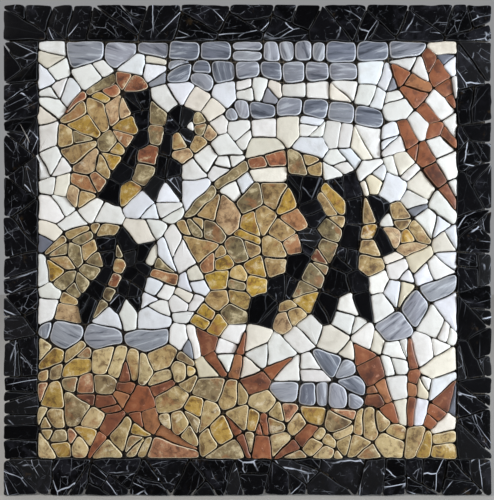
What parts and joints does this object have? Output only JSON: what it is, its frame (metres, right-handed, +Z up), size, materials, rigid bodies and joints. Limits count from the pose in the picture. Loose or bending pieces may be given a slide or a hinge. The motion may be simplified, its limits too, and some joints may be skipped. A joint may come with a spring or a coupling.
{
  "type": "mosaic panel",
  "caption": "Square wall panel of small tumbled natural stones glued to a flexible mesh, forming an underwater picture inside a dark border.",
  "frame": {"origin": "middle of the panel's flat back face, on the wall's surface", "axes": "+Z up the panel, +X to the right as seen from in front, the picture faces -Y and +Y points into the wall"},
  "size_m": [0.5999, 0.0127, 0.6035],
  "materials": {
    "black_marble": "polished by tumbling, with fine white veins",
    "white_marble": "matt to satin, white to cream",
    "grey_marble": "satin, with darker streaks and pale worn rims",
    "tan_travertine": "satin, mottled tan, gold and brown",
    "red_marble": "satin, brick red",
    "mesh_and_adhesive": "glass-fibre mesh set in dark adhesive"
  },
  "bodies": {
    "root": {"backing_mesh": "mesh_and_adhesive", "border_bottom": "black_marble", "border_left": "black_marble", "border_right": "black_marble", "border_top": "black_marble", "corner_seaweed": "red_marble", "corner_seaweed_2": "red_marble", "corner_seaweed_3": "red_marble", "grey_current_low": "grey_marble", "grey_current_middle": "grey_marble", "grey_current_top": "grey_marble", "grey_current_upper": "grey_marble", "grey_drift": "grey_marble", "grey_horizon_left": "grey_marble", "grey_horizon_middle": "grey_marble", "large_fish_banner": "tan_travertine", "large_fish_body": "tan_travertine", "large_fish_eye": "white_marble", "large_fish_head": "tan_travertine", "large_fish_head_2": "tan_travertine", "large_fish_head_stripe": "black_marble", "large_fish_head_stripe_2": "black_marble", "large_fish_middle": "tan_travertine", "large_fish_middle_stripe": "black_marble", "large_fish_rear_stripe": "black_marble", "low_seaweed": "red_marble", "low_seaweed_2": "red_marble", "low_seaweed_3": "red_marble", "middle_seaweed": "red_marble", "middle_seaweed_2": "red_marble", "right_seaweed": "red_marble", "right_seaweed_2": "red_marble", "sand": "tan_travertine", "small_fish_banner": "tan_travertine", "small_fish_body": "tan_travertine", "small_fish_eye": "white_marble", "small_fish_head": "tan_travertine", "small_fish_head_stripe": "black_marble", "small_fish_middle": "tan_travertine", "small_fish_middle_stripe": "black_marble", "small_fish_rear_stripe": "black_marble", "starfish": "red_marble", "upper_fish_banner": "tan_travertine", "upper_fish_body": "tan_travertine", "upper_fish_eye": "white_marble", "upper_fish_head": "tan_travertine", "upper_fish_head_stripe": "black_marble", "upper_fish_middle": "tan_travertine", "upper_fish_middle_stripe": "black_marble", "upper_fish_rear_stripe": "black_marble", "white_water": "white_marble", "white_water_10": "white_marble", "white_water_2": "white_marble", "white_water_3": "white_marble", "white_water_4": "white_marble", "white_water_5": "white_marble", "white_water_6": "white_marble", "white_water_7": "white_marble", "white_water_8": "white_marble", "white_water_9": "white_marble"}
  },
  "joints": []
}
